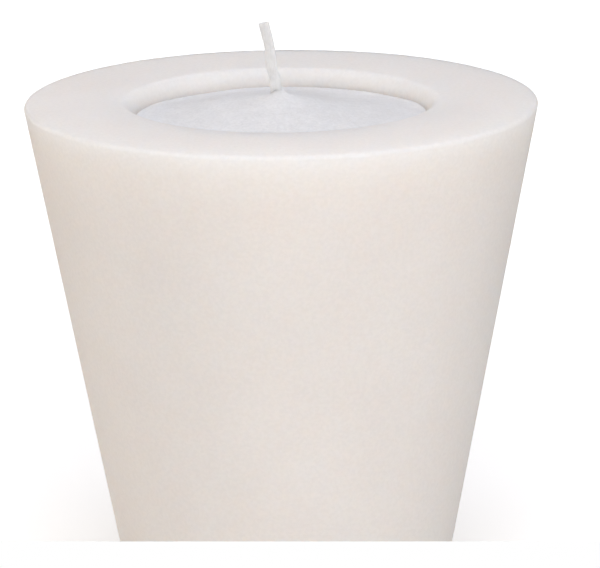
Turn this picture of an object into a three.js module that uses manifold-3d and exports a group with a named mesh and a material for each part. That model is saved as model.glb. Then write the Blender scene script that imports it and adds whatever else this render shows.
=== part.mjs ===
// A refillable unity candle. A tapering wax body, wide at the top, has a lined round socket in it.
// A wax refill stands in the socket, in its own cup, with a flat braided wick, the metal sustainer
// that holds the wick's foot, and the sticky pad that holds the sustainer to the cup. A felt pad
// is let into the underside. The refill, with all that is in its cup, lifts straight out.
//
// Millimetres, +Z up. The origin is the centre of the underside, on the surface it stands on.

import * as THREE from "three";
import { mergeVertices } from "three/addons/utils/BufferGeometryUtils.js";
import Module from "manifold-3d";

const wasm = await Module();
wasm.setup();

// ---------------------------------------------------------------- driving dimensions

const GAP = 0.3; // clearance between neighbouring pieces
const SEGMENTS = 72; // facets around each turned piece
const EDGE_STEPS = 4; // chords in the rounding of an outer edge
const LIP_STEPS = 6; // chords in the rounding of the lip
const CORNER_STEPS = 3; // chords in a small inner corner or edge
const BRAID_STEPS = 5; // chords in each round edge of the wick's section
const MOUND_STEPS = 8; // straight stretches down the mound of wax

// wax body
const RIM_Z = 150; // height of the flat rim
const RIM_RADIUS = 75; // widest radius, at the rim's rounded outer edge
const TAPER = THREE.MathUtils.degToRad(10.7); // lean of the side from upright
const EDGE_ROUND = 1.5; // rounding of the outer edges, top and bottom
const LIP_WIDTH = 3.6; // how far out from the well the rim starts to roll into it
const LIP_DEPTH = 6.5; // how far down the lip meets the well's upright wall
const WELL_RADIUS = 43.2; // wall of the well, just under the lip
const UNDERSIDE_Z = 1; // the body's foot ring stands this far above the table

// socket for the refill, with a slight draft so that the refill lifts out
const SOCKET_FLOOR_Z = 92;
const SOCKET_FLOOR_RADIUS = 42.6;

// felt pad, let into the underside
const PAD_RADIUS = 42;
const PAD_THICKNESS = 2;

// thin metal cup that lines the socket
const LINER_THICKNESS = 0.5;
const LINER_TOP_Z = 138.6;

// the refill's own cup
const CUP_WALL = 0.7;
const CUP_CLEARANCE = 0.4;
const CUP_TOP_Z = 138.8;
const CUP_CORNER = 3; // rounding of the cup's bottom corner

// pressed wax of the refill
const WAX_EDGE_Z = 144.2; // height of the wax where it meets the wall
const WAX_EDGE_RADIUS = 42.85; // its flange, which hides the rims of the two cups
const WAX_EDGE_ROUND = 0.8;
const MOUND_RISE = 7.6; // how far the wax rises from its edge to the wick
const MOUND_STRAIGHT = 0.85; // share of that rise in an even slope; the rest steepens to the wick
const MOUND_POWER = 4; // how late the rest of it rises

// sticky pad and wick sustainer
const STICKER_RADIUS = 9;
const STICKER_THICKNESS = 0.8;
const SUSTAINER_RADIUS = 15;
const SUSTAINER_THICKNESS = 0.4;
const NECK_BORE = 2.1;
const NECK_WALL = 0.5;
const NECK_HEIGHT = 7;

// wick
const WICK_WIDTH = 3.5;
const WICK_THICKNESS = 1.6;
const WICK_TURN = THREE.MathUtils.degToRad(-24); // turn of its flat side about the wick
const WICK_STEPS = 26;
const WICK_TIP_Z = 172.8;
const WICK_FOOT_X = -1.5; // where it comes out of the wax
const WICK_TIP_X = -4.9; // it leans to -X

// heights that follow from them
const LINER_FLOOR_Z = SOCKET_FLOOR_Z + GAP;
const CUP_FLOOR_Z = LINER_FLOOR_Z + LINER_THICKNESS + GAP;
const STICKER_Z = CUP_FLOOR_Z + CUP_WALL + GAP;
const SUSTAINER_Z = STICKER_Z + STICKER_THICKNESS + GAP;
const NECK_TOP_Z = SUSTAINER_Z + SUSTAINER_THICKNESS + NECK_HEIGHT;
const MOUND_TOP_Z = WAX_EDGE_Z + MOUND_RISE;

// ---------------------------------------------------------------- helpers

const point = (radius, z) => new THREE.Vector2(radius, z);

// Points along an arc in the profile plane, from one angle to another, ends included.
function arc(centreRadius, centreZ, round, from, to, steps) {
  const points = [];
  for (let i = 0; i <= steps; i += 1) {
    const angle = from + ((to - from) * i) / steps;
    points.push(point(centreRadius + round * Math.cos(angle), centreZ + round * Math.sin(angle)));
  }
  return points;
}

// A solid of revolution about +Z from a profile that runs up the outside.
function turned(profile) {
  const geometry = new THREE.LatheGeometry(profile, SEGMENTS);
  geometry.rotateX(Math.PI / 2);
  return geometry;
}

function toSolid(geometry) {
  const bare = geometry.clone();
  bare.deleteAttribute("normal");
  bare.deleteAttribute("uv");
  const merged = mergeVertices(bare, 1e-4);
  const vertProperties = new Float32Array(merged.attributes.position.array);
  const triVerts = new Uint32Array(merged.index.array);
  return new wasm.Manifold(new wasm.Mesh({ numProp: 3, vertProperties, triVerts }));
}

function toGeometry(solid) {
  const mesh = solid.getMesh();
  const geometry = new THREE.BufferGeometry();
  geometry.setAttribute("position", new THREE.BufferAttribute(mesh.vertProperties, 3));
  geometry.setIndex(new THREE.BufferAttribute(mesh.triVerts, 1));
  geometry.computeVertexNormals();
  return geometry;
}

function piece(name, geometry, color, roughness, metalness = 0) {
  const material = new THREE.MeshStandardMaterial({ color, roughness, metalness });
  const mesh = new THREE.Mesh(geometry, material);
  mesh.name = name;
  return mesh;
}

// ---------------------------------------------------------------- nested walls

// Radius of the socket's wall at a height: the draft runs from its floor to the well under the lip.
function socketRadius(z) {
  const share = (z - SOCKET_FLOOR_Z) / (RIM_Z - LIP_DEPTH - SOCKET_FLOOR_Z);
  return SOCKET_FLOOR_RADIUS + (WELL_RADIUS - SOCKET_FLOOR_RADIUS) * share;
}

const linerOuter = (z) => socketRadius(z) - GAP;
const linerInner = (z) => linerOuter(z) - LINER_THICKNESS;
const cupOuter = (z) => linerInner(z) - CUP_CLEARANCE;
const cupInner = (z) => cupOuter(z) - CUP_WALL;
const waxOuter = (z) => cupInner(z) - GAP;

// ---------------------------------------------------------------- pieces of the body

function candleBody() {
  const edgeCentre = RIM_RADIUS - EDGE_ROUND;
  const edgeZ = RIM_Z - EDGE_ROUND;
  const footZ = UNDERSIDE_Z + EDGE_ROUND;
  const footCentre = edgeCentre - (edgeZ - footZ) * Math.tan(TAPER);
  const recessRadius = PAD_RADIUS + GAP;
  const recessZ = PAD_THICKNESS + GAP;
  return turned([
    point(0, recessZ),
    point(recessRadius, recessZ),
    point(recessRadius, UNDERSIDE_Z),
    ...arc(footCentre, footZ, EDGE_ROUND, -Math.PI / 2, -TAPER, EDGE_STEPS),
    ...arc(edgeCentre, edgeZ, EDGE_ROUND, -TAPER, 0, 1),
    ...arc(edgeCentre, edgeZ, EDGE_ROUND, 0, Math.PI / 2, EDGE_STEPS).slice(1),
    ...lip(),
    point(SOCKET_FLOOR_RADIUS, SOCKET_FLOOR_Z),
    point(0, SOCKET_FLOOR_Z),
  ]);
}

// The lip, from the flat rim down to the wall of the well: a quarter of an ellipse.
function lip() {
  const quarter = arc(0, 0, 1, Math.PI / 2, Math.PI, LIP_STEPS);
  const centreRadius = WELL_RADIUS + LIP_WIDTH;
  const centreZ = RIM_Z - LIP_DEPTH;
  return quarter.map(({ x, y }) => point(centreRadius + LIP_WIDTH * x, centreZ + LIP_DEPTH * y));
}

function socketLiner() {
  const insideZ = LINER_FLOOR_Z + LINER_THICKNESS;
  return turned([
    point(0, LINER_FLOOR_Z),
    point(linerOuter(LINER_FLOOR_Z), LINER_FLOOR_Z),
    point(linerOuter(LINER_TOP_Z), LINER_TOP_Z),
    point(linerInner(LINER_TOP_Z), LINER_TOP_Z),
    point(linerInner(insideZ), insideZ),
    point(0, insideZ),
  ]);
}

function basePad() {
  return turned([
    point(0, 0),
    point(PAD_RADIUS, 0),
    point(PAD_RADIUS, PAD_THICKNESS),
    point(0, PAD_THICKNESS),
  ]);
}

// ---------------------------------------------------------------- pieces of the refill

// The bottom corner of a cup or of what fills it, rounded from its floor into its wall.
function bottomCorner(radiusAt, floorZ, round) {
  const z = floorZ + round;
  return arc(radiusAt(z) - round, z, round, -Math.PI / 2, 0, CORNER_STEPS);
}

function refillCup() {
  const outside = bottomCorner(cupOuter, CUP_FLOOR_Z, CUP_CORNER);
  const inside = bottomCorner(cupInner, CUP_FLOOR_Z + CUP_WALL, CUP_CORNER - CUP_WALL);
  return turned([
    point(0, CUP_FLOOR_Z),
    ...outside,
    point(cupOuter(CUP_TOP_Z), CUP_TOP_Z),
    point(cupInner(CUP_TOP_Z), CUP_TOP_Z),
    ...inside.reverse(),
    point(0, CUP_FLOOR_Z + CUP_WALL),
  ]);
}

function sustainerPad() {
  const top = STICKER_Z + STICKER_THICKNESS;
  return turned([
    point(0, STICKER_Z),
    point(STICKER_RADIUS, STICKER_Z),
    point(STICKER_RADIUS, top),
    point(0, top),
  ]);
}

function wickSustainer() {
  const discTop = SUSTAINER_Z + SUSTAINER_THICKNESS;
  const neckOuter = NECK_BORE + NECK_WALL;
  return turned([
    point(NECK_BORE, SUSTAINER_Z),
    point(SUSTAINER_RADIUS, SUSTAINER_Z),
    point(SUSTAINER_RADIUS, discTop),
    point(neckOuter, discTop),
    point(neckOuter, NECK_TOP_Z),
    point(NECK_BORE, NECK_TOP_Z),
    point(NECK_BORE, SUSTAINER_Z),
  ]);
}

// The wick's centre line: straight up out of the sustainer, then leaning to -X above the wax.
function wickPath() {
  const places = [
    [0, SUSTAINER_Z],
    [0, NECK_TOP_Z + 3],
    [WICK_FOOT_X + 0.5, MOUND_TOP_Z - 20],
    [WICK_FOOT_X, MOUND_TOP_Z],
    [WICK_FOOT_X - 0.2, MOUND_TOP_Z + 4],
    [WICK_FOOT_X - 1.1, MOUND_TOP_Z + 7.5],
    [WICK_TIP_X + 1.7, WICK_TIP_Z - 7.2],
    [WICK_TIP_X, WICK_TIP_Z],
  ];
  return new THREE.CatmullRomCurve3(places.map(([x, z]) => new THREE.Vector3(x, 0, z)));
}

// A flat braid's section, with round edges, turned about the wick and grown all round by a margin.
function wickSection(margin) {
  const round = WICK_THICKNESS / 2 + margin;
  const reach = (WICK_WIDTH - WICK_THICKNESS) / 2;
  const corners = [
    ...arc(reach, 0, round, -Math.PI / 2, Math.PI / 2, BRAID_STEPS),
    ...arc(-reach, 0, round, Math.PI / 2, (3 * Math.PI) / 2, BRAID_STEPS),
  ];
  const centre = new THREE.Vector2();
  return new THREE.Shape(corners.map((corner) => corner.rotateAround(centre, WICK_TURN)));
}

function alongWick(margin) {
  return new THREE.ExtrudeGeometry(wickSection(margin), {
    extrudePath: wickPath(),
    steps: WICK_STEPS,
    bevelEnabled: false,
  });
}

// The wax has a hollow underneath for the sustainer, and a channel for the wick up to its top.
function refillWax() {
  const hollowRadius = SUSTAINER_RADIUS + GAP;
  const hollowTop = SUSTAINER_Z + SUSTAINER_THICKNESS + GAP;
  const neckRadius = NECK_BORE + NECK_WALL + GAP;
  const flangeZ = CUP_TOP_Z + GAP;
  const shoulderZ = WAX_EDGE_Z - WAX_EDGE_ROUND;
  const round = CUP_CORNER - CUP_WALL - GAP;
  const flangeRound = WAX_EDGE_RADIUS - WAX_EDGE_ROUND;
  const body = turned([
    point(0, NECK_TOP_Z + GAP),
    point(neckRadius, NECK_TOP_Z + GAP),
    point(neckRadius, hollowTop),
    point(hollowRadius, hollowTop),
    point(hollowRadius, STICKER_Z),
    ...bottomCorner(waxOuter, STICKER_Z, round),
    point(waxOuter(flangeZ), flangeZ),
    point(WAX_EDGE_RADIUS, flangeZ),
    ...arc(flangeRound, shoulderZ, WAX_EDGE_ROUND, 0, Math.PI / 2, CORNER_STEPS),
    ...mound(flangeRound),
  ]);
  return toGeometry(toSolid(body).subtract(toSolid(alongWick(GAP))));
}

// The mound of wax, from its edge to the axis: a low cone that grows steeper towards the wick.
function mound(edge) {
  const points = [];
  for (let i = 1; i <= MOUND_STEPS; i += 1) {
    const share = i / MOUND_STEPS;
    const steep = (1 - MOUND_STRAIGHT) * share ** MOUND_POWER;
    const height = WAX_EDGE_Z + MOUND_RISE * (MOUND_STRAIGHT * share + steep);
    points.push(point(edge * (1 - share), height));
  }
  return points;
}

// ---------------------------------------------------------------- the candle

const candle = new THREE.Group();
candle.add(
  piece("candle_body", candleBody(), 0xf2ebe3, 0.45),
  piece("socket_liner", socketLiner(), 0xc9cacb, 0.35, 0.9),
  piece("base_pad", basePad(), 0xd8cfc2, 0.95),
);

const refill = new THREE.Group();
refill.add(
  piece("refill_cup", refillCup(), 0xe8eaec, 0.3),
  piece("refill_wax", refillWax(), 0xefedef, 0.6),
  piece("wick", alongWick(0), 0xe6e4e1, 0.85),
  piece("wick_sustainer", wickSustainer(), 0xb9bcc0, 0.3, 0.9),
  piece("sustainer_pad", sustainerPad(), 0xdcd9cf, 0.7),
);
candle.add(refill);

export default candle;
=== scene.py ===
# The looks of a refillable unity candle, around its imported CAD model.
# Metres, in the CAD frame: +Z up, the origin under the candle's centre, and the viewer at -Y.

import math

import bmesh
import bpy
import numpy as np
from mathutils import Matrix, Vector, noise


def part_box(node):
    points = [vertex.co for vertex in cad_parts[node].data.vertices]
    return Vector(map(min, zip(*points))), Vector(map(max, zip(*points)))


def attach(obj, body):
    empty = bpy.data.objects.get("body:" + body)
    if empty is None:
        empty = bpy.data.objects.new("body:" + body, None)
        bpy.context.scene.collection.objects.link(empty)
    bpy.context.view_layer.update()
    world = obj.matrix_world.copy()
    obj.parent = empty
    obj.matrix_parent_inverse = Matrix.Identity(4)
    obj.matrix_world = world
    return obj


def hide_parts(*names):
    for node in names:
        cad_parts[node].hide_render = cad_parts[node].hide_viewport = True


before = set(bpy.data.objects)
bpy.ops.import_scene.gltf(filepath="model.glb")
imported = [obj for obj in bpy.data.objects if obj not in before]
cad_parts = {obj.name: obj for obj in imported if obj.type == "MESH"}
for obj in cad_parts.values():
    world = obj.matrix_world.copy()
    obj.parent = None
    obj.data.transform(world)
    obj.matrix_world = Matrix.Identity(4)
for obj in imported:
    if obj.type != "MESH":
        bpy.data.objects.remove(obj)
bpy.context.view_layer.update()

# ---------------------------------------------------------------- sizes

MM = 0.001
GAP = 0.3 * MM
TINY = 1e-6  # a shorter length counts as none

BODY_LOW, BODY_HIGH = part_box("candle_body")
RIM_RADIUS = BODY_HIGH.x
RIM_Z = BODY_HIGH.z
UNDERSIDE_Z = BODY_LOW.z
TAPER = math.radians(10.7)
EDGE_ROUND = 1.5 * MM  # the foot's outer edge
TOP_ROUND = 1.1 * MM  # the rim's outer edge
CROWN_WIDTH = 12 * MM  # the rim falls a little towards that edge
CROWN_DROP = 0.3 * MM
CROWN_STEPS = 16
LIP_WIDTH = 3.6 * MM
LIP_DEPTH = 6.5 * MM
FRONT_LIP_SHIFT = 1.6 * MM  # how much tighter the lip turns in at the front
DISH_WIDTH = 10 * MM  # the rim also falls a little towards the lip
DISH_DEPTH = 0.2 * MM
WELL_RADIUS = 43.2 * MM
SOCKET_FLOOR_RADIUS = 42.6 * MM
SWELL = (22, Vector((0, 0, 0)), 0.10 * MM)  # noise cells per metre, their shift, and the depth
RIPPLE = (90, Vector((3, 1, 7)), 0.04 * MM)

PAD_ROOM = 4 * MM  # below this height, points inside the well's radius belong to the foot
PAD_BEVEL = 0.35 * MM
PAD_FUZZ = (1500, Vector((0, 0, 0)), 0.12 * MM)

LINER_LOW, LINER_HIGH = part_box("socket_liner")
LINER_THICKNESS = 0.5 * MM
LINER_CORNER = 1.2 * MM
LINER_RING = [(24, 0), (25, 0.35), (26.5, 0.35), (27.5, 0)]  # pressed into its floor, millimetres
SOCKET_FLOOR_Z = LINER_LOW.z - GAP

CUP_LOW, CUP_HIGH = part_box("refill_cup")
CUP_WALL = 0.7 * MM
CUP_CLEARANCE = 0.4 * MM
CUP_CORNER = 3 * MM
CUP_RECESS = 0.25 * MM  # a shallow recess under the cup, inside its foot ring
CUP_RECESS_RADIUS = 33 * MM
CUP_RECESS_SLOPE = 0.6 * MM

WAX_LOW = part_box("refill_wax")[0]
WAX_EDGE_RADIUS = 43.1 * MM
WAX_EDGE_Z = RIM_Z - 5.8 * MM
WAX_EDGE_ROUND = 0.3 * MM
MOUND_RISE = 7.6 * MM
MOUND_STRAIGHT = 0.85
MOUND_POWER = 4
GRAIN_LAYERS = [
    # noise cells per metre, their shift, and the height
    (900, Vector((0, 0, 0)), 0.10 * MM),
    (2200, Vector((5, 2, 9)), 0.06 * MM),
    (160, Vector((1, 8, 4)), 0.12 * MM),
]

SUSTAINER_LOW, SUSTAINER_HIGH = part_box("wick_sustainer")
SUSTAINER_SHEET = 0.4 * MM
SUSTAINER_RINGS = [
    # (radius, rise) of the two rings pressed into the disc, in millimetres
    (5.5, 0), (6.2, 0.25), (7.4, 0.25), (8.1, 0),
    (10.6, 0), (11.2, 0.2), (12.2, 0.2), (12.8, 0),
]
NECK_BORE = 2.1 * MM
NECK_WALL = 0.5 * MM
CRIMP_START = 1.5 * MM  # height over the disc's underside where the neck starts to flatten
CRIMP_LENGTH = 2.5 * MM
CRIMP_SHARE = 0.42  # how much of the neck's depth the crimp takes away
CRIMP_REACH = 1.2  # in neck radii

WICK_LOW, WICK_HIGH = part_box("wick")
WICK_WIDTH = 3.5 * MM
WICK_THICKNESS = 1.6 * MM
WICK_TURN = math.radians(24)
WICK_FOOT = Vector((-1.5 * MM, 0, WAX_EDGE_Z + MOUND_RISE))
WICK_TIP_X = -4.9 * MM
WICK_WIDE = Vector((math.cos(WICK_TURN), -math.sin(WICK_TURN), 0))
WICK_DEEP = Vector((math.sin(WICK_TURN), math.cos(WICK_TURN), 0))
PLAIT_PITCH = 6.5 * MM
PLAIT_STRANDS = 3
PLAIT_RELIEF = 0.22 * MM
STRAND_HALF = 0.52  # of the plait's half width; a strand also swings this far to each side
STRAND_UNDER = 0.45  # height of a strand where it passes under the others
STRAND_CLIMB = 0.45  # how much it climbs to pass over them
YARNS = 4
YARN_HEIGHT = 0.10
YARN_TWIST = 0.35
WICK_LUMPS = 0.10 * MM
WICK_LUMP_SCALE = 700  # noise cells per metre


# ---------------------------------------------------------------- mesh helpers

def arc(centre, round_, start, end, steps):
    """Profile points along an arc, from one angle in degrees to another, ends included."""
    angles = np.radians(np.linspace(start, end, steps + 1))
    return [(centre[0] + round_ * math.cos(a), centre[1] + round_ * math.sin(a)) for a in angles]


def line(start, end, steps):
    """Profile points along a straight line, without its first point."""
    shares = np.linspace(0, 1, steps + 1)[1:]
    return [tuple(np.array(start) * (1 - s) + np.array(end) * s) for s in shares]


def new_object(name, vertices, faces, sharp=40):
    mesh = bpy.data.meshes.new(name)
    mesh.from_pydata([tuple(v) for v in vertices], [], faces)
    mesh.validate()
    mesh.update()
    mesh.polygons.foreach_set("use_smooth", [True] * len(mesh.polygons))
    mesh.set_sharp_from_angle(angle=math.radians(sharp))
    obj = bpy.data.objects.new(name, mesh)
    bpy.context.scene.collection.objects.link(obj)
    return obj


def revolve(name, profile, segments=192, shape=None, sharp=40):
    """A closed solid of revolution about +Z. The profile of (radius, z) points runs up the
    outside. Its ends are on the axis, or else it closes on itself. shape(point) moves points."""
    vertices = []
    rings = []
    angles = np.arange(segments) * 2 * math.pi / segments
    for radius, z in profile:
        first = len(vertices)
        if radius < TINY:
            vertices.append(Vector((0, 0, z)))
            rings.append([first] * segments)
        else:
            vertices += [Vector((radius * math.cos(a), radius * math.sin(a), z)) for a in angles]
            rings.append(list(range(first, first + segments)))
    if profile[0][0] > TINY:
        rings.append(rings[0])
    faces = []
    for low, high in zip(rings, rings[1:]):
        for i in range(segments):
            j = (i + 1) % segments
            corners = (low[i], low[j], high[j], high[i])
            faces.append(tuple(dict.fromkeys(corners)))
    if shape:
        vertices = [shape(v) for v in vertices]
    return new_object(name, vertices, faces, sharp)


def merge_close(obj):
    mesh = bmesh.new()
    mesh.from_mesh(obj.data)
    bmesh.ops.remove_doubles(mesh, verts=mesh.verts, dist=0.001 * MM)
    mesh.to_mesh(obj.data)
    mesh.free()


def uneven(point, layer):
    """A layer's smooth noise at a point, from none of its depth to all of it."""
    scale, shift, depth = layer
    return (noise.noise(point * scale + shift) * 0.5 + 0.5) * depth


def dress(obj, body, node, material):
    """Puts a finished piece in the place of its CAD node."""
    obj.data.materials.append(material)
    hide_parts(node)
    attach(obj, body)
    return obj


# ---------------------------------------------------------------- nested walls

def socket_radius(z):
    share = (z - SOCKET_FLOOR_Z) / (RIM_Z - LIP_DEPTH - SOCKET_FLOOR_Z)
    return SOCKET_FLOOR_RADIUS + (WELL_RADIUS - SOCKET_FLOOR_RADIUS) * share


def liner_outer(z):
    return socket_radius(z) - GAP


def liner_inner(z):
    return liner_outer(z) - LINER_THICKNESS


def cup_outer(z):
    return liner_inner(z) - CUP_CLEARANCE


def cup_inner(z):
    return cup_outer(z) - CUP_WALL


def wax_outer(z):
    return cup_inner(z) - GAP


# ---------------------------------------------------------------- material helpers

def node_material(name):
    material = bpy.data.materials.new(name)
    material.use_nodes = True
    nodes = material.node_tree.nodes
    shader = nodes["Principled BSDF"]
    return material, nodes, material.node_tree.links, shader


def place(nodes):
    """Object coordinates. Every piece's origin is the frame's, so they are metres."""
    return nodes.new("ShaderNodeTexCoord").outputs["Object"]


def noise_node(nodes, links, scale, detail=3.0, roughness=0.5, stretch=None):
    texture = nodes.new("ShaderNodeTexNoise")
    texture.inputs["Scale"].default_value = scale
    texture.inputs["Detail"].default_value = detail
    texture.inputs["Roughness"].default_value = roughness
    source = place(nodes)
    if stretch:
        mapping = nodes.new("ShaderNodeMapping")
        mapping.inputs["Scale"].default_value = stretch
        links.new(source, mapping.inputs["Vector"])
        source = mapping.outputs["Vector"]
    links.new(source, texture.inputs["Vector"])
    return texture.outputs["Fac"]


def cells_node(nodes, links, scale):
    texture = nodes.new("ShaderNodeTexVoronoi")
    texture.inputs["Scale"].default_value = scale
    links.new(place(nodes), texture.inputs["Vector"])
    return texture


def blend_colours(nodes, links, factor, low, high, start=0.3, end=0.7):
    ramp = nodes.new("ShaderNodeValToRGB")
    ramp.color_ramp.elements[0].position = start
    ramp.color_ramp.elements[0].color = (*low, 1)
    ramp.color_ramp.elements[1].position = end
    ramp.color_ramp.elements[1].color = (*high, 1)
    links.new(factor, ramp.inputs["Fac"])
    return ramp.outputs["Color"]


def multiply(nodes, links, first, second, amount):
    mix = nodes.new("ShaderNodeMix")
    mix.data_type = "RGBA"
    mix.blend_type = "MULTIPLY"
    mix.inputs["Factor"].default_value = amount
    links.new(first, mix.inputs["A"])
    links.new(second, mix.inputs["B"])
    return mix.outputs["Result"]


def spread(nodes, links, factor, low, high, start=0.0, end=1.0):
    """Maps a factor, which runs from start to end, to a range of values."""
    span = nodes.new("ShaderNodeMapRange")
    span.inputs["From Min"].default_value = start
    span.inputs["From Max"].default_value = end
    span.inputs["To Min"].default_value = low
    span.inputs["To Max"].default_value = high
    links.new(factor, span.inputs["Value"])
    return span.outputs["Result"]


def bump(nodes, links, height, distance, strength=1.0, under=None):
    node = nodes.new("ShaderNodeBump")
    node.inputs["Distance"].default_value = distance
    node.inputs["Strength"].default_value = strength
    links.new(height, node.inputs["Height"])
    if under:
        links.new(under, node.inputs["Normal"])
    return node.outputs["Normal"]


def subsurface(shader, radius, scale):
    shader.inputs["Subsurface Weight"].default_value = 1.0
    shader.inputs["Subsurface Radius"].default_value = radius
    shader.inputs["Subsurface Scale"].default_value = scale


# ---------------------------------------------------------------- materials
# Noise and cell scales are in cells per metre. Colours are linear.

WHITE = (1, 1, 1)
WAX_IOR = 1.43


def ivory_wax():
    """Cast ivory paraffin: cloudy, satin, and lit from within along its edges."""
    material, nodes, links, shader = node_material("ivory_wax")
    cloud = noise_node(nodes, links, 28, detail=4, roughness=0.55)
    colour = blend_colours(nodes, links, cloud, (0.885, 0.835, 0.80), (0.912, 0.867, 0.835))
    crystal = noise_node(nodes, links, 900, detail=2, roughness=0.6)
    dull = (0.965, 0.965, 0.965)
    speckle = blend_colours(nodes, links, crystal, dull, WHITE, start=0.35, end=0.65)
    links.new(multiply(nodes, links, colour, speckle, amount=1.0), shader.inputs["Base Color"])
    sheen_change = noise_node(nodes, links, 60, detail=4, roughness=0.6)
    links.new(spread(nodes, links, sheen_change, 0.55, 0.70), shader.inputs["Roughness"])
    ripples = noise_node(nodes, links, 130, detail=3, roughness=0.5)
    rippled = bump(nodes, links, ripples, 0.25 * MM, strength=0.35)
    grain = noise_node(nodes, links, 1600, detail=2, roughness=0.5)
    grained = bump(nodes, links, grain, 0.03 * MM, strength=0.35, under=rippled)
    links.new(grained, shader.inputs["Normal"])
    shader.inputs["IOR"].default_value = WAX_IOR
    shader.inputs["Specular IOR Level"].default_value = 0.15
    subsurface(shader, (1.0, 0.9, 0.8), scale=18 * MM)
    return material


def pressed_wax():
    """White paraffin granules pressed into a cake."""
    material, nodes, links, shader = node_material("pressed_wax")
    grains = cells_node(nodes, links, 1400)
    dark, light = (0.80, 0.795, 0.805), (0.86, 0.855, 0.865)
    colour = blend_colours(nodes, links, grains.outputs["Color"], dark, light, start=0.1, end=0.9)
    cloud = noise_node(nodes, links, 150, detail=5, roughness=0.7)
    dull = (0.95, 0.95, 0.95)
    shade = blend_colours(nodes, links, cloud, dull, WHITE, start=0.35, end=0.6)
    links.new(multiply(nodes, links, colour, shade, amount=1.0), shader.inputs["Base Color"])
    links.new(spread(nodes, links, cloud, 0.5, 0.7), shader.inputs["Roughness"])
    pitted = bump(nodes, links, grains.outputs["Distance"], 0.2 * MM, strength=-0.35)
    fine = noise_node(nodes, links, 2600, detail=3, roughness=0.6)
    grained = bump(nodes, links, fine, 0.08 * MM, strength=0.5, under=pitted)
    links.new(grained, shader.inputs["Normal"])
    shader.inputs["IOR"].default_value = WAX_IOR
    subsurface(shader, (1.0, 0.95, 0.9), scale=5 * MM)
    return material


def waxed_cotton():
    """Cotton yarn, waxed, with its fibres along the wick."""
    material, nodes, links, shader = node_material("waxed_cotton")
    fibres = noise_node(nodes, links, 2600, detail=3, roughness=0.6, stretch=(1, 1, 0.18))
    colour = blend_colours(nodes, links, fibres, (0.86, 0.86, 0.865), (0.94, 0.94, 0.945))
    wax = noise_node(nodes, links, 500, detail=3, roughness=0.5)
    film = blend_colours(nodes, links, wax, (0.95, 0.95, 0.95), WHITE)
    links.new(multiply(nodes, links, colour, film, amount=1.0), shader.inputs["Base Color"])
    links.new(spread(nodes, links, wax, 0.5, 0.7), shader.inputs["Roughness"])
    links.new(bump(nodes, links, fibres, 0.05 * MM, strength=0.5), shader.inputs["Normal"])
    subsurface(shader, (1.0, 0.95, 0.9), scale=2 * MM)
    return material


def frosted_plastic():
    """Thin milky plastic with a frosted surface."""
    material, nodes, links, shader = node_material("frosted_plastic")
    cloud = noise_node(nodes, links, 90, detail=4, roughness=0.6)
    colour = blend_colours(nodes, links, cloud, (0.90, 0.91, 0.92), (0.94, 0.95, 0.955))
    links.new(colour, shader.inputs["Base Color"])
    frost = noise_node(nodes, links, 3000, detail=2, roughness=0.6)
    links.new(spread(nodes, links, frost, 0.24, 0.42), shader.inputs["Roughness"])
    links.new(bump(nodes, links, frost, 0.02 * MM, strength=0.4), shader.inputs["Normal"])
    shader.inputs["IOR"].default_value = 1.5
    shader.inputs["Transmission Weight"].default_value = 0.12
    subsurface(shader, (1.0, 1.0, 1.0), scale=2 * MM)
    return material


def drawn_metal(name, dark, light, scale, rough):
    """Thin sheet metal with fine lines round it from drawing and trimming."""
    material, nodes, links, shader = node_material(name)
    lines = noise_node(nodes, links, scale, detail=4, roughness=0.65, stretch=(0.06, 0.06, 1))
    colour = blend_colours(nodes, links, lines, dark, light)
    links.new(colour, shader.inputs["Base Color"])
    cloud = noise_node(nodes, links, 160, detail=4, roughness=0.6)
    links.new(spread(nodes, links, cloud, rough[0], rough[1]), shader.inputs["Roughness"])
    links.new(bump(nodes, links, lines, 0.02 * MM, strength=0.5), shader.inputs["Normal"])
    shader.inputs["Metallic"].default_value = 1.0
    return material


def foam_adhesive():
    """The cut edge and face of a double-sided foam sticker."""
    material, nodes, links, shader = node_material("foam_adhesive")
    pores = cells_node(nodes, links, 2200)
    skin, pore = (0.86, 0.84, 0.78), (0.72, 0.70, 0.64)
    colour = blend_colours(nodes, links, pores.outputs["Distance"], skin, pore, start=0.2, end=0.8)
    links.new(colour, shader.inputs["Base Color"])
    cloud = noise_node(nodes, links, 400, detail=3, roughness=0.6)
    links.new(spread(nodes, links, cloud, 0.55, 0.8), shader.inputs["Roughness"])
    pitted = bump(nodes, links, pores.outputs["Distance"], 0.1 * MM, strength=-0.6)
    links.new(pitted, shader.inputs["Normal"])
    return material


def wool_felt():
    """Pressed oatmeal felt, with matted fibres."""
    material, nodes, links, shader = node_material("wool_felt")
    mat = noise_node(nodes, links, 700, detail=6, roughness=0.75)
    dark, light = (0.55, 0.50, 0.43), (0.74, 0.69, 0.61)
    colour = blend_colours(nodes, links, mat, dark, light, start=0.35, end=0.65)
    fleck = noise_node(nodes, links, 260, detail=3, roughness=0.5, stretch=(1, 0.3, 1))
    flecks = blend_colours(nodes, links, fleck, (0.82, 0.80, 0.77), WHITE, start=0.38, end=0.5)
    links.new(multiply(nodes, links, colour, flecks, amount=0.8), shader.inputs["Base Color"])
    links.new(spread(nodes, links, mat, 0.85, 1.0), shader.inputs["Roughness"])
    links.new(bump(nodes, links, mat, 0.35 * MM, strength=0.8), shader.inputs["Normal"])
    shader.inputs["Sheen Weight"].default_value = 0.35
    shader.inputs["Sheen Roughness"].default_value = 0.6
    return material


# ---------------------------------------------------------------- the body's pieces

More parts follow.
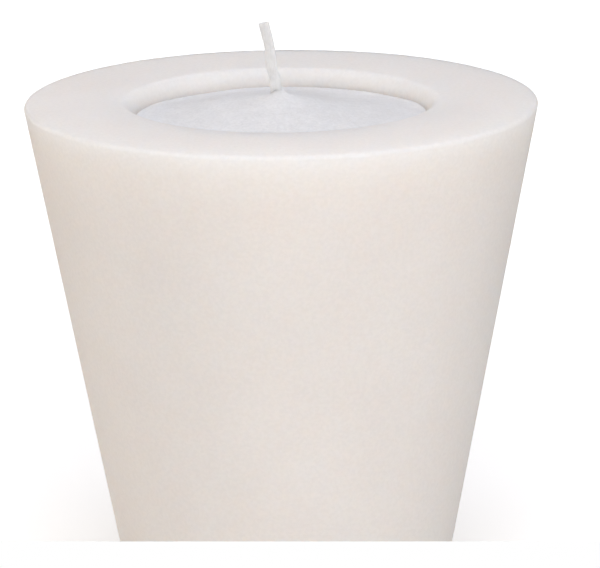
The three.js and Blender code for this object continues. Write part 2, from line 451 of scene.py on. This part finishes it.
def hand_cast(point):
    """The slight unevenness of a cast wax surface, always inwards, with the rim's dish and the
    tighter turn of the lip at the front. The well's upright wall stays as it is."""
    radius = math.hypot(point.x, point.y)
    if radius < TINY:
        return point
    depth = uneven(point, SWELL) + uneven(point, RIPPLE)
    dish = max(0.0, 1 - (radius - WELL_RADIUS - LIP_WIDTH) / DISH_WIDTH)
    if radius < WELL_RADIUS + LIP_WIDTH and point.z > UNDERSIDE_Z + PAD_ROOM:
        inner = max(0.0, (point.z - RIM_Z + LIP_DEPTH) / LIP_DEPTH)
        shrink = 1 - FRONT_LIP_SHIFT * inner * max(0.0, -point.y / radius) / radius
        drop = (depth + DISH_DEPTH) * inner
        return Vector((point.x * shrink, point.y * shrink, point.z - drop))
    shrink = 1 - depth / radius
    drop = depth + DISH_DEPTH * dish**2 if point.z > RIM_Z - 2 * EDGE_ROUND else 0
    return Vector((point.x * shrink, point.y * shrink, point.z - drop))


def make_body(material):
    edge = (RIM_RADIUS - TOP_ROUND, RIM_Z - TOP_ROUND - CROWN_DROP)
    crown_shares = np.linspace(0, 1, CROWN_STEPS + 1)[1:]
    crown = [(edge[0] - CROWN_WIDTH * s, RIM_Z - CROWN_DROP * (1 - s) ** 2) for s in crown_shares]
    taper = math.degrees(TAPER)
    foot_z = UNDERSIDE_Z + EDGE_ROUND
    lean = (RIM_Z - EDGE_ROUND - foot_z) * math.tan(TAPER)
    foot = (RIM_RADIUS - EDGE_ROUND - lean, foot_z)
    foot_arc = arc(foot, EDGE_ROUND, -90, -taper, 8)
    edge_arc = arc(edge, TOP_ROUND, -taper, 90, 12)
    lip_radius, lip_z = WELL_RADIUS + LIP_WIDTH, RIM_Z - LIP_DEPTH
    quarter = arc((0, 0), 1, 90, 180, 24)
    lip_arc = [(lip_radius + LIP_WIDTH * x, lip_z + LIP_DEPTH * y) for x, y in quarter]
    pad_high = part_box("base_pad")[1]
    recess_radius = pad_high.x + GAP
    recess_z = pad_high.z + GAP
    socket_floor = (SOCKET_FLOOR_RADIUS, SOCKET_FLOOR_Z)
    profile = [
        (0, recess_z),
        (recess_radius, recess_z),
        (recess_radius, UNDERSIDE_Z),
        *foot_arc,
        *line(foot_arc[-1], edge_arc[0], 90),
        *edge_arc[1:],
        *crown,
        *line(crown[-1], lip_arc[0], 28),
        *lip_arc[1:],
        *line(lip_arc[-1], socket_floor, 24),
        (0, SOCKET_FLOOR_Z),
    ]
    body = revolve("candle_body_wax", profile, segments=320, shape=hand_cast)
    return dress(body, "candle", "candle_body", material)


def make_liner(material):
    floor_z = LINER_LOW.z
    inside_z = floor_z + LINER_THICKNESS
    top = LINER_HIGH.z
    bead = LINER_THICKNESS / 2
    rim = (liner_outer(top) - bead, top - bead)
    corner_z = floor_z + LINER_CORNER
    outside = (liner_outer(corner_z) - LINER_CORNER, corner_z)
    inside_round = LINER_CORNER - LINER_THICKNESS
    inside = (liner_inner(corner_z) - inside_round, corner_z)
    ring = [(radius * MM, rise * MM) for radius, rise in LINER_RING]
    profile = [
        (0, floor_z),
        *[(r, floor_z) for r, _ in ring],
        *arc(outside, LINER_CORNER, -90, 0, 6),
        *line((outside[0] + LINER_CORNER, outside[1]), (liner_outer(rim[1]), rim[1]), 12),
        *arc(rim, bead, 0, 180, 8),
        *line((liner_inner(rim[1]), rim[1]), (inside[0] + inside_round, inside[1]), 12),
        *reversed(arc(inside, inside_round, -90, 0, 6)[:-1]),
        *[(r, inside_z + rise) for r, rise in reversed(ring)],
        (0, inside_z),
    ]
    liner = revolve("socket_liner_cup", profile, segments=192)
    return dress(liner, "candle", "socket_liner", material)


def make_base_pad(material):
    low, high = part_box("base_pad")
    flat = high.x - PAD_BEVEL
    profile = [
        *[(r, low.z) for r in np.linspace(0, flat, 60)],
        *arc((flat, low.z + PAD_BEVEL), PAD_BEVEL, -90, 0, 3)[1:],
        *arc((flat, high.z - PAD_BEVEL), PAD_BEVEL, 0, 90, 3),
        *[(r, high.z) for r in np.linspace(flat, 0, 24)[1:]],
    ]

    def matted(point):
        depth = uneven(point, PAD_FUZZ)
        towards = 1 - depth / max(math.hypot(point.x, point.y), 1 * MM)
        lift = depth if point.z < (low.z + high.z) / 2 else -depth
        return Vector((point.x * towards, point.y * towards, point.z + lift))

    pad = revolve("base_pad_felt", profile, segments=360, shape=matted)
    return dress(pad, "candle", "base_pad", material)


# ---------------------------------------------------------------- the refill's pieces

def make_cup(material):
    floor_z = CUP_LOW.z
    inside_z = floor_z + CUP_WALL
    top = CUP_HIGH.z
    bead = CUP_WALL / 2
    outside = (cup_outer(floor_z + CUP_CORNER) - CUP_CORNER, floor_z + CUP_CORNER)
    inner_round = CUP_CORNER - CUP_WALL
    inside = (cup_inner(floor_z + CUP_CORNER) - inner_round, floor_z + CUP_CORNER)
    rim = (cup_outer(top) - bead, top - bead)
    recess_edge = (CUP_RECESS_RADIUS, floor_z + CUP_RECESS)
    profile = [
        (0, floor_z + CUP_RECESS),
        *line((0, floor_z + CUP_RECESS), recess_edge, 4),
        *line(recess_edge, (CUP_RECESS_RADIUS + CUP_RECESS_SLOPE, floor_z), 2),
        *arc(outside, CUP_CORNER, -90, 0, 10),
        *line((outside[0] + CUP_CORNER, outside[1]), (cup_outer(rim[1]), rim[1]), 20),
        *arc(rim, bead, 0, 180, 8),
        *line((cup_inner(rim[1]), rim[1]), (inside[0] + inner_round, inside[1]), 20),
        *reversed(arc(inside, inner_round, -90, 0, 10)[:-1]),
        (0, inside_z),
    ]
    cup = revolve("refill_cup_frosted", profile, segments=256)
    return dress(cup, "refill", "refill_cup", material)


WICK_ROOT = WICK_FOOT.x / MM
MOUND_HUMPS = [
    # height, (x, y) and spread of each swelling or hollow of the wax, in millimetres
    (0.8, (-20, 5), (13, 12)),
    (-0.8, (17, 17), (12, 10)),
    (0.7, (37, 10), (9, 12)),
    (-0.4, (-26, 34), (14, 9)),
    (2.0, (WICK_ROOT + 0.7, 0.1), (1.5, 1.0)),
    (0.5, (WICK_ROOT + 0.6, -0.6), (3.2, 2.4)),
    (-0.9, (WICK_ROOT - 3.0, 0.4), (1.2, 1.6)),
]
MENISCUS = 0.3  # rise at the wall, in millimetres
MENISCUS_SHARE = 0.03  # how far in it reaches, as a share of the radius
CREASE_LEAN = 0.03  # sideways step for each step forwards
CREASE_DEPTH = 0.12  # the crease's other sizes are in millimetres
CREASE_X = 0.5
CREASE_WIDTH = 0.5
CREASE_START = 4


def mound_height(point):
    """Height of the wax over its edge: a low cone, steeper towards the wick, with wax drawn up
    round the wick, shallow swellings and hollows, and a fine crease down the front."""
    share = max(0.0, 1 - math.hypot(point.x, point.y) / (WAX_EDGE_RADIUS - WAX_EDGE_ROUND))
    cone = MOUND_STRAIGHT * share + (1 - MOUND_STRAIGHT) * share**MOUND_POWER
    height = MOUND_RISE / MM * cone + MENISCUS * math.exp(-share / MENISCUS_SHARE)
    x, y = point.x / MM, point.y / MM
    for rise, (middle_x, middle_y), (spread_x, spread_y) in MOUND_HUMPS:
        aside = ((x - middle_x) / spread_x) ** 2 + ((y - middle_y) / spread_y) ** 2
        height += rise * math.exp(-aside)
    if y < 0:
        aside = (x - CREASE_X + y * CREASE_LEAN) / CREASE_WIDTH
        height -= CREASE_DEPTH * math.exp(-(aside**2)) * min(1, -y / CREASE_START)
    return height * MM


def granular(point):
    """Grains and lumps that stand out of the pressed wax, or pits in it."""
    return sum(height * noise.noise(point * scale + shift) for scale, shift, height in GRAIN_LAYERS)


def make_wax(material):
    flange_z = CUP_HIGH.z + GAP
    shoulder = (WAX_EDGE_RADIUS - WAX_EDGE_ROUND, WAX_EDGE_Z - WAX_EDGE_ROUND)
    round_ = CUP_CORNER - CUP_WALL - GAP
    bottom = WAX_LOW.z
    corner = (wax_outer(bottom + round_) - round_, bottom + round_)
    profile = [
        (0, bottom),
        *arc(corner, round_, -90, 0, 6),
        *line((corner[0] + round_, corner[1]), (wax_outer(flange_z), flange_z), 40),
        (WAX_EDGE_RADIUS, flange_z),
        *arc(shoulder, WAX_EDGE_ROUND, 0, 90, 5),
        *line((shoulder[0], WAX_EDGE_Z), (0, WAX_EDGE_Z), 150),
    ]

    def pressed(point):
        if point.z < WAX_EDGE_Z - TINY:
            towards = 1 - abs(granular(point)) / max(math.hypot(point.x, point.y), 1 * MM)
            return Vector((point.x * towards, point.y * towards, point.z))
        return point + Vector((0, 0, mound_height(point) + granular(point)))

    wax = revolve("refill_wax_pressed", profile, segments=640, shape=pressed)
    return dress(wax, "refill", "refill_wax", material)


# (x, z) places down the middle of the wick, from its foot in the sustainer to its cut tip
WICK_PLACES = [
    (0.0, WICK_LOW.z),
    (0.0, WICK_LOW.z + 10 * MM),
    (WICK_FOOT.x + 0.5 * MM, WICK_FOOT.z - 20 * MM),
    (WICK_FOOT.x, WICK_FOOT.z),
    (WICK_FOOT.x - 0.2 * MM, WICK_FOOT.z + 4 * MM),
    (WICK_FOOT.x - 1.1 * MM, WICK_FOOT.z + 7.5 * MM),
    (WICK_TIP_X + 1.7 * MM, WICK_HIGH.z - 7.4 * MM),
    (WICK_TIP_X, WICK_HIGH.z - 0.35 * MM),
]


def smooth_path(places, spacing):
    """Points a fixed distance apart on a Catmull-Rom curve through (x, z) places."""
    ends = [places[0], *places, places[-1]]
    fine = []
    for a, b, c, d in zip(ends, ends[1:], ends[2:], ends[3:]):
        a, b, c, d = (np.array(p) for p in (a, b, c, d))
        for t in np.linspace(0, 1, 40, endpoint=False):
            fine.append(0.5 * (2 * b + (c - a) * t + (2 * a - 5 * b + 4 * c - d) * t**2
                               + (3 * b - a - 3 * c + d) * t**3))
    fine.append(np.array(places[-1]))
    fine = np.array(fine)
    along = np.concatenate([[0], np.cumsum(np.hypot(*np.diff(fine, axis=0).T))])
    steps = np.arange(0, along[-1], spacing)
    return [Vector((np.interp(s, along, fine[:, 0]), 0, np.interp(s, along, fine[:, 1])))
            for s in steps]


def plait_relief(across, along):
    """Height, from 0 to 1, of a flat plait at a place on its face. across runs from -1 to 1."""
    best = 0.0
    turns = along / PLAIT_PITCH
    for strand in range(PLAIT_STRANDS):
        phase = 2 * math.pi * (turns + strand / PLAIT_STRANDS)
        aside = (across - STRAND_HALF * math.cos(phase)) / STRAND_HALF
        if abs(aside) > 1:
            continue
        crown = math.sqrt(1 - aside**2)
        over = 0.5 + 0.5 * math.sin(2 * phase)
        twist = aside - YARN_TWIST * math.sin(phase) * turns
        yarns = YARN_HEIGHT * math.cos(math.pi * YARNS * twist)
        best = max(best, crown * (STRAND_UNDER + STRAND_CLIMB * over + yarns))
    return best


def squared(angle, roundness=0.75):
    """A place on a rounded square, 1 from its middle to each side."""
    u, v = math.cos(angle), math.sin(angle)
    return math.copysign(abs(u) ** roundness, u), math.copysign(abs(v) ** roundness, v)


def wick_ring(centre, across, deep, along, size, sides):
    """One ring of the wick's surface, shrunk to size where it closes an end."""
    half_width = (WICK_WIDTH - WICK_LUMPS) / 2
    half_depth = (WICK_THICKNESS - WICK_LUMPS) / 2 - PLAIT_RELIEF
    ring = []
    for k in range(sides):
        u, v = squared(2 * math.pi * k / sides)
        shift = 0 if v > 0 else PLAIT_PITCH / (2 * PLAIT_STRANDS)
        raised = plait_relief(u, along + shift) * PLAIT_RELIEF
        corner = centre + (across * u * half_width + deep * v * (half_depth + raised)) * size
        lump = noise.noise(corner * WICK_LUMP_SCALE) * WICK_LUMPS
        ring.append(corner + (across * u + deep * v) * lump * size)
    return ring


def make_wick(material):
    """A flat plait, stiff with wax, and cut off square at its tip."""
    sides, spacing = 56, 0.16 * MM
    path = smooth_path(WICK_PLACES, spacing)
    last = len(path) - 1
    closing = [(0, 0.0), (0, 0.5), (0, 0.8), (0, 0.94)]
    rows = closing + [(i, 1.0) for i in range(last + 1)]
    rows += [(last, size) for _, size in reversed(closing)]
    vertices = []
    for i, size in rows:
        ahead = (path[min(i + 2, last)] - path[max(i - 2, 0)]).normalized()
        across = (WICK_WIDE - ahead * WICK_WIDE.dot(ahead)).normalized()
        vertices += wick_ring(path[i], across, ahead.cross(across), i * spacing, size, sides)
    faces = []
    for row in range(len(rows) - 1):
        for k in range(sides):
            n = (k + 1) % sides
            low, high = row * sides, (row + 1) * sides
            faces.append((low + k, low + n, high + n, high + k))
    wick = new_object("wick_plait", vertices, faces, sharp=50)
    merge_close(wick)
    return dress(wick, "refill", "wick", material)


def make_sustainer(material):
    """A stamped disc with two pressed rings, and a neck crimped flat onto the wick."""
    low, high = SUSTAINER_LOW, SUSTAINER_HIGH
    sheet = SUSTAINER_SHEET
    neck = NECK_BORE + NECK_WALL
    rings = [(radius * MM, rise * MM) for radius, rise in SUSTAINER_RINGS]
    profile = [
        (NECK_BORE, low.z),
        *[(r, low.z + rise) for r, rise in rings],
        *arc((high.x - sheet / 2, low.z + sheet / 2), sheet / 2, -90, 90, 6),
        *[(r, low.z + sheet + rise) for r, rise in reversed(rings)],
        *reversed(arc((neck + sheet, low.z + 2 * sheet), sheet, 180, 270, 5)),
        *line((neck, low.z + 2 * sheet), (neck, high.z - 0.1 * MM), 10),
        *arc(((NECK_BORE + neck) / 2, high.z - NECK_WALL / 2), NECK_WALL / 2, 0, 180, 5),
        *line((NECK_BORE, high.z - NECK_WALL / 2), (NECK_BORE, low.z), 10)[:-1],
    ]

    def crimped(point):
        if math.hypot(point.x, point.y) > neck * CRIMP_REACH:
            return point
        share = min(1, max(0, (point.z - low.z - CRIMP_START) / CRIMP_LENGTH))
        wide = point.dot(WICK_WIDE)
        deep = point.dot(WICK_DEEP) * (1 - CRIMP_SHARE * share)
        return WICK_WIDE * wide + WICK_DEEP * deep + Vector((0, 0, point.z))

    sustainer = revolve("wick_sustainer_stamped", profile, segments=160, shape=crimped)
    return dress(sustainer, "refill", "wick_sustainer", material)


def make_sticker(material):
    low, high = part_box("sustainer_pad")
    bulge = (high.z - low.z) / 2
    centre = (high.x - bulge, low.z + bulge)
    profile = [
        *[(r, low.z) for r in np.linspace(0, centre[0], 12, endpoint=False)],
        *arc(centre, bulge, -90, 90, 8),
        *[(r, high.z) for r in np.linspace(centre[0], 0, 12)[1:]],
    ]
    sticker = revolve("sustainer_pad_foam", profile, segments=128)
    return dress(sticker, "refill", "sustainer_pad", material)


# ---------------------------------------------------------------- studio

CAMERA_DISTANCE = 1.2
CAMERA_RISE = math.radians(12.01)
CAMERA_PITCH = math.radians(14.60)
CAMERA_YAW = math.radians(0.24)
CAMERA_ROLL = math.radians(-0.65)
CAMERA_LENS = 246.4
PICTURE = (600, 568)
BLANK_STRIP = 0.0468  # share of the picture's height
CARD_DISTANCE = 0.02

AMBIENT = (0.05, 0.05, 0.05)
FLOOR_HALF = 8
# the glow that the camera sees the floor add: its least and most, and where they are reached
FLOOR_LIFT = (0.30, 1.0)
FLOOR_REACH = (0.045, 0.75)
SOFTBOXES = [
    # name, place, width and height, watts, colour
    ("overhead", (0, 0.1, 1.2), (1.0, 1.0), 6.4, (0.88, 0.90, 1.0)),
    ("key", (-0.03, -1.065, 0.846), (1.0, 0.5), 9.8, (1.0, 0.98, 0.94)),
    ("right_fill", (0.857, -0.857, 0.8), (0.8, 0.8), 2.2, (0.85, 0.87, 1.0)),
    ("left_side", (-1.45, 0.59, 0.433), (0.6, 1.0), 8.2, (1.0, 0.84, 0.66)),
    ("right_side", (1.541, 0.272, 0.433), (0.6, 1.0), 4.3, (1.0, 0.92, 0.76)),
]


def make_camera():
    data = bpy.data.cameras.new("camera")
    data.lens = CAMERA_LENS
    data.clip_start = CARD_DISTANCE / 4
    camera = bpy.data.objects.new("camera", data)
    bpy.context.scene.collection.objects.link(camera)
    back = CAMERA_DISTANCE * math.cos(CAMERA_RISE)
    rise = CAMERA_DISTANCE * math.sin(CAMERA_RISE)
    flat = math.cos(CAMERA_PITCH)
    ahead = Vector((math.sin(CAMERA_YAW) * flat, math.cos(CAMERA_YAW) * flat, -math.sin(CAMERA_PITCH)))
    level = ahead.cross(Vector((0, 0, 1))).normalized()
    upright = level.cross(ahead)
    right = level * math.cos(CAMERA_ROLL) + upright * math.sin(CAMERA_ROLL)
    up = right.cross(ahead)
    turn = Matrix((right, up, -ahead)).transposed().to_4x4()
    camera.matrix_world = Matrix.Translation((0, -back, RIM_Z + rise)) @ turn
    bpy.context.scene.camera = camera
    return camera


def glow(name, colour, strength):
    material = bpy.data.materials.new(name)
    material.use_nodes = True
    nodes = material.node_tree.nodes
    nodes.clear()
    emission = nodes.new("ShaderNodeEmission")
    emission.inputs["Color"].default_value = (*colour, 1)
    emission.inputs["Strength"].default_value = strength
    output = nodes.new("ShaderNodeOutputMaterial")
    material.node_tree.links.new(emission.outputs["Emission"], output.inputs["Surface"])
    return material


def make_card(camera):
    """A tiny white card just before the lens. It leaves the picture's lowest strip blank."""
    across = CARD_DISTANCE * camera.data.sensor_width / CAMERA_LENS
    tall = across * PICTURE[1] / PICTURE[0]
    top = -tall / 2 + BLANK_STRIP * tall
    corners = [(-across, -tall), (across, -tall), (across, top), (-across, top)]
    vertices = [camera.matrix_world @ Vector((x, y, -CARD_DISTANCE)) for x, y in corners]
    card = new_object("blank_card", vertices, [(0, 1, 2, 3)])
    card.data.materials.append(glow("blank", (1, 1, 1), 1.0))


def make_floor():
    """A white table top. To the camera it is pure white but for a soft shade by the candle."""
    half = FLOOR_HALF
    corners = [(-half, -half, 0), (half, -half, 0), (half, half, 0), (-half, half, 0)]
    floor = new_object("floor", corners, [(0, 1, 2, 3)])
    material, nodes, links, shader = node_material("white_table")
    shader.inputs["Base Color"].default_value = (0.9, 0.9, 0.9, 1)
    shader.inputs["Roughness"].default_value = 0.9
    shader.inputs["Specular IOR Level"].default_value = 0.0
    distance = nodes.new("ShaderNodeVectorMath")
    distance.operation = "LENGTH"
    links.new(place(nodes), distance.inputs[0])
    lift = spread(nodes, links, distance.outputs["Value"], *FLOOR_LIFT, *FLOOR_REACH)
    rays = nodes.new("ShaderNodeLightPath")
    gain = nodes.new("ShaderNodeMath")
    gain.operation = "MULTIPLY"
    links.new(lift, gain.inputs[0])
    links.new(rays.outputs["Is Camera Ray"], gain.inputs[1])
    shader.inputs["Emission Color"].default_value = (1, 1, 1, 1)
    links.new(gain.outputs["Value"], shader.inputs["Emission Strength"])
    floor.data.materials.append(material)


def make_world():
    """White to the camera, and a dim even glow as light."""
    world = bpy.data.worlds.new("studio")
    world.use_nodes = True
    nodes = world.node_tree.nodes
    links = world.node_tree.links
    background = nodes["Background"]
    rays = nodes.new("ShaderNodeLightPath")
    mix = nodes.new("ShaderNodeMix")
    mix.data_type = "RGBA"
    mix.inputs["A"].default_value = (*AMBIENT, 1)
    mix.inputs["B"].default_value = (1, 1, 1, 1)
    links.new(rays.outputs["Is Camera Ray"], mix.inputs["Factor"])
    links.new(mix.outputs["Result"], background.inputs["Color"])
    bpy.context.scene.world = world


def add_softbox(name, location, size, power, colour, target=(0, 0, 0.1)):
    data = bpy.data.lights.new(name, "AREA")
    data.shape = "RECTANGLE"
    data.size, data.size_y = size
    data.energy = power
    data.color = colour
    light = bpy.data.objects.new(name, data)
    light.location = location
    light.rotation_euler = (Vector(target) - Vector(location)).to_track_quat("-Z", "Y").to_euler()
    bpy.context.scene.collection.objects.link(light)
    light.visible_camera = False


def make_studio():
    camera = make_camera()
    make_card(camera)
    make_floor()
    make_world()
    for softbox in SOFTBOXES:
        add_softbox(*softbox)
    scene = bpy.context.scene
    scene.view_settings.view_transform = "Standard"
    scene.cycles.use_denoising = True


# ---------------------------------------------------------------- put together

make_body(ivory_wax())
make_liner(
    drawn_metal("drawn_aluminium", (0.80, 0.81, 0.82), (0.91, 0.915, 0.92), 1500, (0.30, 0.46))
)
make_base_pad(wool_felt())
make_cup(frosted_plastic())
make_wax(pressed_wax())
make_wick(waxed_cotton())
make_sustainer(
    drawn_metal("tinned_steel", (0.55, 0.56, 0.57), (0.74, 0.75, 0.76), 2000, (0.18, 0.34))
)
make_sticker(foam_adhesive())
make_studio()
